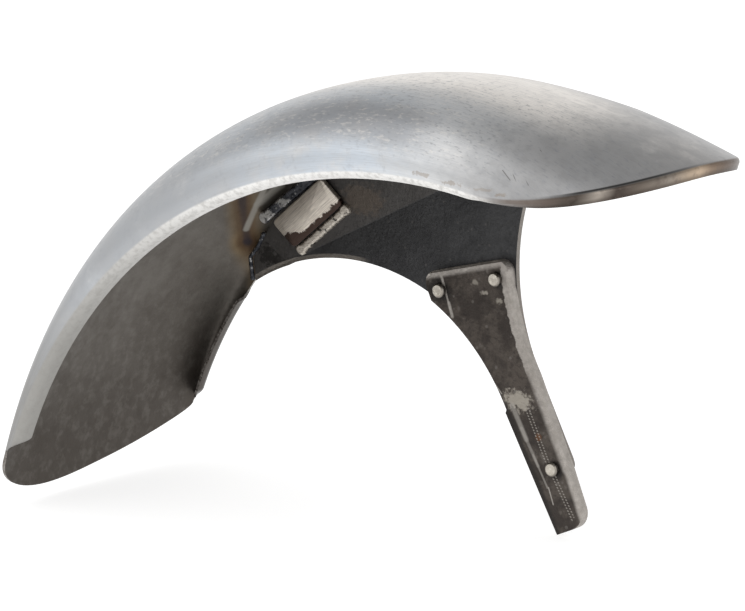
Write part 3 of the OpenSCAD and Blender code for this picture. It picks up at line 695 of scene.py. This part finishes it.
# The gusset. A short strap of 4 mm bar, belt-ground on its face and welded along both long edges
# between the wing of the side plate and the shell.
fold_start, fold_along = np.array([-203.5, 97.5, 257.9]), np.array([0.898, 0.44]) / np.hypot(0.898, 0.44)
fold_up, wing_bend = np.array([-fold_along[1], fold_along[0]]), np.radians(11.5)
wing_along = np.array([fold_along[0], 0, fold_along[1]])
wing_up = np.array([fold_up[0] * np.cos(wing_bend), -np.sin(wing_bend), fold_up[1] * np.cos(wing_bend)])
wing_out = np.array([fold_up[0] * np.sin(wing_bend), np.cos(wing_bend), fold_up[1] * np.sin(wing_bend)])
gusset_long, gusset_wide, gusset_thick = 60.0, 24.5, 4.0
gusset_at, gusset_slope, gusset_lean = (2.8, -4.0, 14.4), 12.8, 4.0


def on_wing(x, y, z, place, slope, lean=0.0):
    """Points given along, out of and up a strap, turned by its lean and then its slope, and moved to a
    place along, out of and up the bent wing."""
    c, s = np.cos(np.radians(lean)), np.sin(np.radians(lean))
    y, z = y * c - z * s, y * s + z * c
    c, s = np.cos(np.radians(slope)), np.sin(np.radians(slope))
    x, z = x * c - z * s, x * s + z * c
    return fold_start + (np.stack([x, y, z], -1) + place) @ np.stack([wing_along, wing_out, wing_up])


def closed_tube(name, rings, sharp):
    """A solid from rings of points: a cell between each two points and rings, and a face on each end."""
    index = np.arange(rings.shape[0] * rings.shape[1]).reshape(rings.shape[:2])
    index = np.hstack([index, index[:, :1]])
    ends = [index[0, -2::-1].tolist(), index[-1, :-1].tolist()]
    return piece(name, rings.reshape(-1, 3), grid_quads(index)[:, ::-1].tolist() + ends, sharp)


# outline of the strap: a superellipse of high power, with a slightly uneven flame-cut edge, at each
# height above its inner face with the inset that rounds its edges
corner_power, unevenness = 0.16, 0.006
around = np.linspace(0, 2 * np.pi, 241)[:-1]
flat_x, flat_z = (np.sign(wave) * np.abs(wave) ** corner_power for wave in (np.cos(around), np.sin(around)))
uneven = 1 - unevenness * (1 + np.sin(around * 23) * np.sin(around * 7 + 1))
rounding = [(0.0, 0.7), (0.25, 0.25), (0.8, 0.0),
            (gusset_thick - 0.8, 0.0), (gusset_thick - 0.25, 0.25), (gusset_thick, 0.7)]
strap = np.stack([on_wing(flat_x * uneven * (gusset_long / 2 - inset), np.full(around.size, -above),
                          flat_z * uneven * (gusset_wide / 2 - inset) + gusset_wide / 2,
                          gusset_at, gusset_slope, gusset_lean) for above, inset in rounding])
gusset = closed_tube("gusset_strap", strap, 50)

# its face is brushed along the strap, with mill scale left along the lower edge in a ragged strip
gusset_steel, tree, shader, place = bare_metal("gusset_ground_steel", 0.85)
strap_corner, strap_end, strap_top = on_wing(
    np.array([-0.5, 0.5, -0.5]) * gusset_long, np.full(3, -gusset_thick), np.array([0, 0, gusset_wide]),
    gusset_at, gusset_slope, gusset_lean)
from_corner = vectors(tree, "SUBTRACT", place, tuple((strap_corner - pad_centre) * 0.001))
strap_run = vectors(tree, "DOT_PRODUCT", from_corner, tuple(unit(strap_end - strap_corner)))
strap_rise = vectors(tree, "DOT_PRODUCT", from_corner, tuple(unit(strap_top - strap_corner)))
strap_face = put(tree, "ShaderNodeCombineXYZ", {0: strap_run, 1: strap_rise}).outputs[0]
lines = brushed(tree, strap_face, 0.014, 0.0007)
colour = tint(tree, rise(tree, lines, 0.35, 0.68), (0.74, 0.68, 0.60), (0.48, 0.43, 0.375))
colour = lay(tree, colour, (0.36, 0.32, 0.28), patches(tree, place, 0.012, 0.5, 0.75), 0.3)
scale_edge = maths(tree, "MULTIPLY_ADD", rise(tree, strap_run, 0.018, 0.002), 0.0075, 0.0042)
scale_wander = maths(tree, "SUBTRACT", patches(tree, strap_face, 0.005, 0.25, 0.75), 0.5)
scale_edge = maths(tree, "MULTIPLY_ADD", scale_wander, 0.004, scale_edge)
scale_left = rise(tree, maths(tree, "SUBTRACT", strap_rise, scale_edge), 0.0006, -0.0004)
colour = lay(tree, colour, (0.035, 0.017, 0.012), scale_left, 0.97)
surface(tree, shader, colour, maths(tree, "ADD", times(tree, lines, 0.2), 0.32), lines, 0.0002)
gusset.data.materials.append(gusset_steel)
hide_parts("gusset")
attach(gusset, "root")


# The welds. MIG beads of mild steel: one along each long edge of the gusset, and a thinner seam that
# closes the wing against the shell. They are left as run, dark and spattered, and part ground bright.
ripple_pitch, bead_sides, inner_face, seam_radius = 2.4, 24, -4.2, 1.5


def bead(name, path, lift, radius, swell, flat=2.0):
    """A tube along a path. Its radius is one radius times ripples and slow waves, plus a swell near
    each end, closing to a round tip, and it is ground off at a flat height above the path."""
    steps = np.linalg.norm(np.diff(path, axis=0), axis=1)
    run = np.concatenate([[0], np.cumsum(steps)])
    ahead = unit(np.gradient(path, axis=0))
    side = unit(np.cross(ahead, lift))
    up = np.cross(side, ahead)
    turn_round = np.linspace(0, 2 * np.pi, bead_sides + 1)[:-1]
    ends = np.minimum(run, run[-1] - run)
    ripples, waves = np.cos(run * 2 * np.pi / ripple_pitch), np.sin(run * 0.9) * np.sin(run * 0.37 + 1)
    r = radius * (1 + 0.05 * ripples + 0.06 * waves) + swell * np.exp(-((ends - radius) / 3.0) ** 2)
    r = r * np.sqrt(np.clip(1 - (1 - np.clip(ends / radius, 0, 1)) ** 2, 0.0004, 1))
    high = np.minimum(np.cos(turn_round) * r[:, None], flat)
    wide = np.sin(turn_round) * r[:, None] * (1 + 0.05 * np.sin(run * 1.7)[:, None])
    rings = path[:, None] + side[:, None] * wide[..., None] + up[:, None] * high[..., None]
    return closed_tube(name, rings, 60)


weld_steel, tree, shader, place = bare_metal("weld_dark_bead", 0.8)
colour = tint(tree, patches(tree, place, 0.006, 0.4, 0.6), (0.028, 0.031, 0.038), (0.085, 0.088, 0.10))
colour = lay(tree, colour, (0.42, 0.42, 0.42), use(tree, speckle, Place=place, Size=0.0026, Share=0.22), 0.7)
colour = spots(tree, place, colour, (0.56, 0.55, 0.53), [
    ((-181, -14, 25), (6, 9, 6), 0.5, 0.9), ((-174, -13, 29), (7, 8, 4), 1.0, 0.8),
    ((-161, -14, 40), (8, 8, 3.5), 1.1, 0.7)])
surface(tree, shader, colour, mottled(tree, place, 0.004, 0.2, 0.3), pitted(tree, place, 0.002), 0.0004)
weld_ground, tree, shader, place = bare_metal("weld_ground_bead", 0.85)
lines = brushed(tree, place, 0.006, 0.0006)
colour = tint(tree, rise(tree, lines, 0.4, 0.65), (0.66, 0.61, 0.54), (0.44, 0.395, 0.34))
colour = tint(tree, patches(tree, place, 0.004, 0.58, 0.64), colour, (0.05, 0.045, 0.04))
surface(tree, shader, colour, maths(tree, "ADD", times(tree, lines, 0.2), 0.28), lines, 0.0003)

# the two beads of the gusset, each straight along its own edge
weld_run = np.linspace(-0.5, 0.5, 120)
flat_zero = np.zeros(weld_run.size)
lower_path = on_wing(weld_run * 62, flat_zero, flat_zero, (3.6, -4.0, 10.6), 12.7)
upper_path = on_wing(weld_run * 71, flat_zero, flat_zero, (-6.9, -6.6, 42.4), 11.0)
lower = bead("weld_bead_plate", lower_path, -wing_out, 3.5, 1.1, 2.9)
upper = bead("weld_bead_shell", upper_path, -wing_out, 3.6, 0.6)


def bent_outline(flat):
    """Points of the flat plate, ahead of and above the fold's start, on the inner face of the bent wing."""
    return on_wing(flat @ fold_along, np.full(len(flat), inner_face), flat @ fold_up, (0, 0, 0), 0.0)


def wing_line(angles_up):
    """The top edge of the wing on its inner face: the plate's outline at these angles from the top of
    the wheel, whose radius falls with the square of the angle from 23 degrees back, bent with the wing."""
    a = np.radians(angles_up)
    r = (arch_radius + 31 - 0.032 * (angles_up + 23) ** 2) * 1.0045
    return bent_outline(np.stack([r * np.sin(a) - fold_start[0], r * np.cos(a) - fold_start[2]], -1))


# the seam round the wing's rear corner, and the one along its top edge
wing_corner = bent_outline(np.array([[-272.6, 223], [-272.6, 232], [-272.4, 241]]) - fold_start[[0, 2]])
corner_path = np.vstack([wing_corner, wing_line(np.array([-46.5, -44.5]))])
marks = np.arange(len(corner_path))
end_path = np.stack([np.interp(np.linspace(0, marks[-1], 70), marks, corner_path[:, k]) for k in range(3)], -1)
seam_end = bead("weld_seam_end", end_path, -wing_out, seam_radius, 0.2)
seam_top = bead("weld_seam_top", wing_line(np.linspace(-30, -6, 240)), -wing_out, seam_radius, 0.1)
for made, node, paint in ((lower, "weld_gusset_plate", weld_ground),
                          (upper, "weld_gusset_shell", weld_steel),
                          (seam_end, "weld_wing_end", weld_steel),
                          (seam_top, "weld_wing_top", weld_steel)):
    made.data.materials.append(paint)
    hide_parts(node)
    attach(made, "root")


# The studio. A pale floor just under the bracket's foot, a white surround that is greyer overhead, as
# the brushed shell reflects it, two soft lamps, and the camera where the photographer stood.
def seen_directly(tree):
    """The largest of the camera, glossy and transmission flags: 1 for rays that see the stage, else 0."""
    rays = put(tree, "ShaderNodeLightPath").outputs
    return maths(tree, "MAXIMUM", rays["Is Camera Ray"],
                 maths(tree, "MAXIMUM", rays["Is Glossy Ray"], rays["Is Transmission Ray"]))


white, sky_light = 1.0, 0.65
world = bpy.data.worlds.new("white_surround")
world.use_nodes = True
bpy.context.scene.world = world
sky = world.node_tree
background = sky.nodes["Background"]
background.inputs[0].default_value = (1, 1, 1, 1)
_, sky_y, sky_z = parts_of(sky, put(sky, "ShaderNodeTexCoord").outputs["Generated"])
overhead = times(sky, rise(sky, sky_z, 0.26, 0.52),
                 maths(sky, "MULTIPLY_ADD", rise(sky, sky_y, -0.2, 0.5), 0.18, 0.27))
seen_sky = maths(sky, "SUBTRACT", white - sky_light, overhead)
sky.links.new(maths(sky, "MULTIPLY_ADD", seen_directly(sky), seen_sky, sky_light), background.inputs[1])


def card(name, corners, paint):
    """A flat stage piece through four corners in the row frame, in metres."""
    mesh = bpy.data.meshes.new(name)
    mesh.from_pydata(corners, [], [(0, 1, 2, 3)])
    mesh.materials.append(paint)
    made = bpy.data.objects.new(name, mesh)
    bpy.context.scene.collection.objects.link(made)


floor_level, floor_reach, floor_glow = -0.1645, 9, 0.74
floor_paint = bpy.data.materials.new("pale_floor")
floor_paint.use_nodes = True
floor_tree = floor_paint.node_tree
floor_shader = floor_tree.nodes["Principled BSDF"]
for socket, value in (("Base Color", (0.6, 0.6, 0.6, 1)), ("Roughness", 0.9),
                      ("Emission Color", (1, 1, 1, 1)), ("Specular IOR Level", 0.0)):
    floor_shader.inputs[socket].default_value = value
glow = times(floor_tree, seen_directly(floor_tree), floor_glow)
floor_tree.links.new(glow, floor_shader.inputs["Emission Strength"])
corners = ((-1, -1), (1, -1), (1, 1), (-1, 1))
card("floor", [(x * floor_reach, y * floor_reach, floor_level) for x, y in corners], floor_paint)


def soft_lamp(name, at, towards, size, power):
    """A square area lamp at a place, facing a point."""
    lamp = bpy.data.lights.new(name, "AREA")
    lamp.size, lamp.energy = size, power
    made = bpy.data.objects.new(name, lamp)
    made.location = at
    made.rotation_euler = (Vector(towards) - Vector(at)).to_track_quat("-Z", "Y").to_euler()
    bpy.context.scene.collection.objects.link(made)


soft_lamp("key_lamp", (-1.0, -1.3, 1.9), (0, -0.1, 0), 2.8, 11)
soft_lamp("fill_lamp", (1.9, -1.2, 0.9), (0, -0.1, 0), 1.2, 4)

lens = bpy.data.cameras.new("photo_view")
lens.lens, lens.sensor_width, lens.sensor_fit = 154.63, 36, "HORIZONTAL"
camera = bpy.data.objects.new("photo_view", lens)
camera.location = (1.2662, -1.7384, 0.4403)
aim = Vector((0.0618, -0.1968, 0.0245)) - camera.location
camera.rotation_euler = aim.to_track_quat("-Z", "Y").to_euler()
bpy.context.scene.collection.objects.link(camera)
bpy.context.scene.camera = camera
bpy.context.scene.view_settings.view_transform = "Standard"
